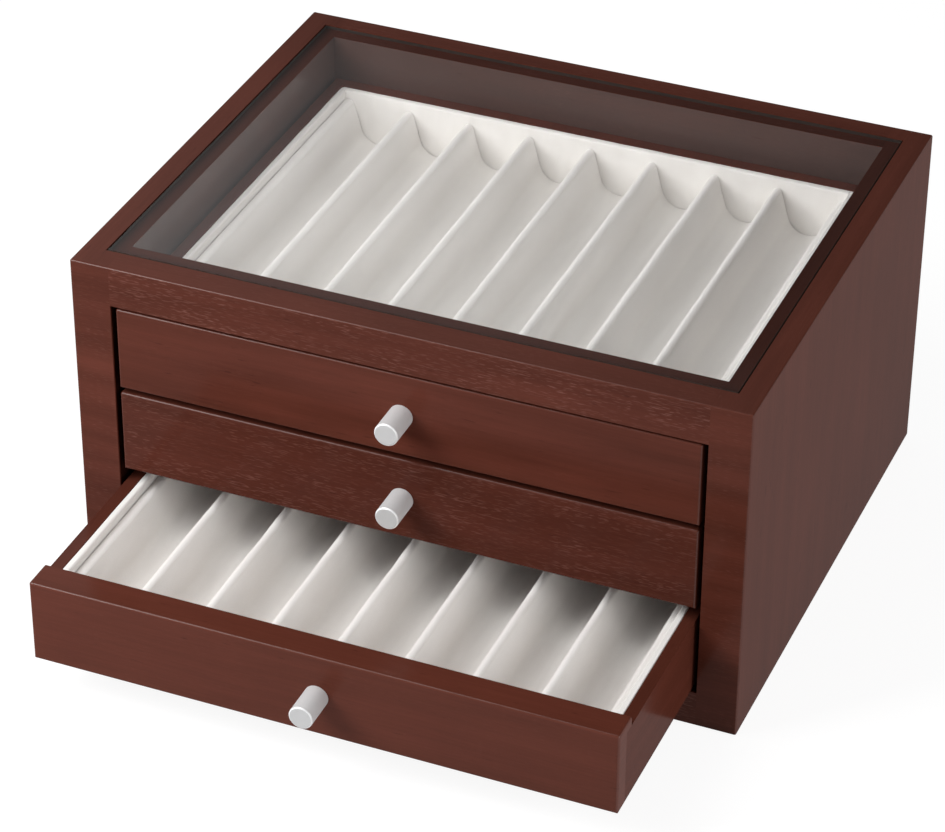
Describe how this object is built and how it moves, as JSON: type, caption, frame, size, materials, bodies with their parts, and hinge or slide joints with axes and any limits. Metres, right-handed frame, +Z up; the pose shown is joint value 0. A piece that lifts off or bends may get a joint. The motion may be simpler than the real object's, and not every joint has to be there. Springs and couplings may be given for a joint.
{
  "type": "pen collector chest",
  "caption": "Glass-topped wooden chest with shallow drawers whose ridged velour trays hold pens side by side.",
  "frame": {"origin": "centre of the carcass's flat base", "axes": "+Z up, +X to the right seen from the front, the drawers open towards -Y"},
  "size_m": [0.285, 0.328, 0.151],
  "materials": {
    "mahogany": "dark mahogany stain under satin lacquer",
    "runner_wood": "stained hardwood strip",
    "dowel_wood": "bare beech",
    "drawer_plywood": "stained thin plywood",
    "glass": "clear float glass with polished edges",
    "velour": "cream velour over formed card",
    "knob_aluminium": "satin turned aluminium",
    "screw_steel": "zinc-plated steel",
    "felt": "dark felt pad"
  },
  "bodies": {
    "carcass": {"side_left": "mahogany", "side_right": "mahogany", "bottom_board": "mahogany", "back_board": "mahogany", "top_rail": "mahogany", "dowels": "dowel_wood", "glass_pane": "glass", "runner_1_left": "runner_wood", "runner_1_right": "runner_wood", "runner_2_left": "runner_wood", "runner_2_right": "runner_wood", "runner_3_left": "runner_wood", "runner_3_right": "runner_wood", "stop_pads": "felt"},
    "drawer_1": {"drawer_1_front": "mahogany", "drawer_1_side_left": "mahogany", "drawer_1_side_right": "mahogany", "drawer_1_back": "mahogany", "drawer_1_bottom": "drawer_plywood", "drawer_1_lining_left": "velour", "drawer_1_lining_right": "velour", "drawer_1_lining_front": "velour", "drawer_1_lining_back": "velour", "drawer_1_tray": "velour", "drawer_1_knob": "knob_aluminium", "drawer_1_knob_screw": "screw_steel"},
    "drawer_2": {"drawer_2_front": "mahogany", "drawer_2_side_left": "mahogany", "drawer_2_side_right": "mahogany", "drawer_2_back": "mahogany", "drawer_2_bottom": "drawer_plywood", "drawer_2_lining_left": "velour", "drawer_2_lining_right": "velour", "drawer_2_lining_front": "velour", "drawer_2_lining_back": "velour", "drawer_2_tray": "velour", "drawer_2_knob": "knob_aluminium", "drawer_2_knob_screw": "screw_steel"},
    "drawer_3": {"drawer_3_front": "mahogany", "drawer_3_side_left": "mahogany", "drawer_3_side_right": "mahogany", "drawer_3_back": "mahogany", "drawer_3_bottom": "drawer_plywood", "drawer_3_lining_left": "velour", "drawer_3_lining_right": "velour", "drawer_3_lining_front": "velour", "drawer_3_lining_back": "velour", "drawer_3_tray": "velour", "drawer_3_knob": "knob_aluminium", "drawer_3_knob_screw": "screw_steel"}
  },
  "joints": [
    {"name": "drawer_1_slide", "type": "slide", "parent": "carcass", "child": "drawer_1", "axis": [0, -1, 0], "range_m": [0, 0.15]},
    {"name": "drawer_2_slide", "type": "slide", "parent": "carcass", "child": "drawer_2", "axis": [0, -1, 0], "range_m": [0, 0.15]},
    {"name": "drawer_3_slide", "type": "slide", "parent": "carcass", "child": "drawer_3", "axis": [0, -1, 0], "range_m": [-0.082, 0.068]}
  ]
}
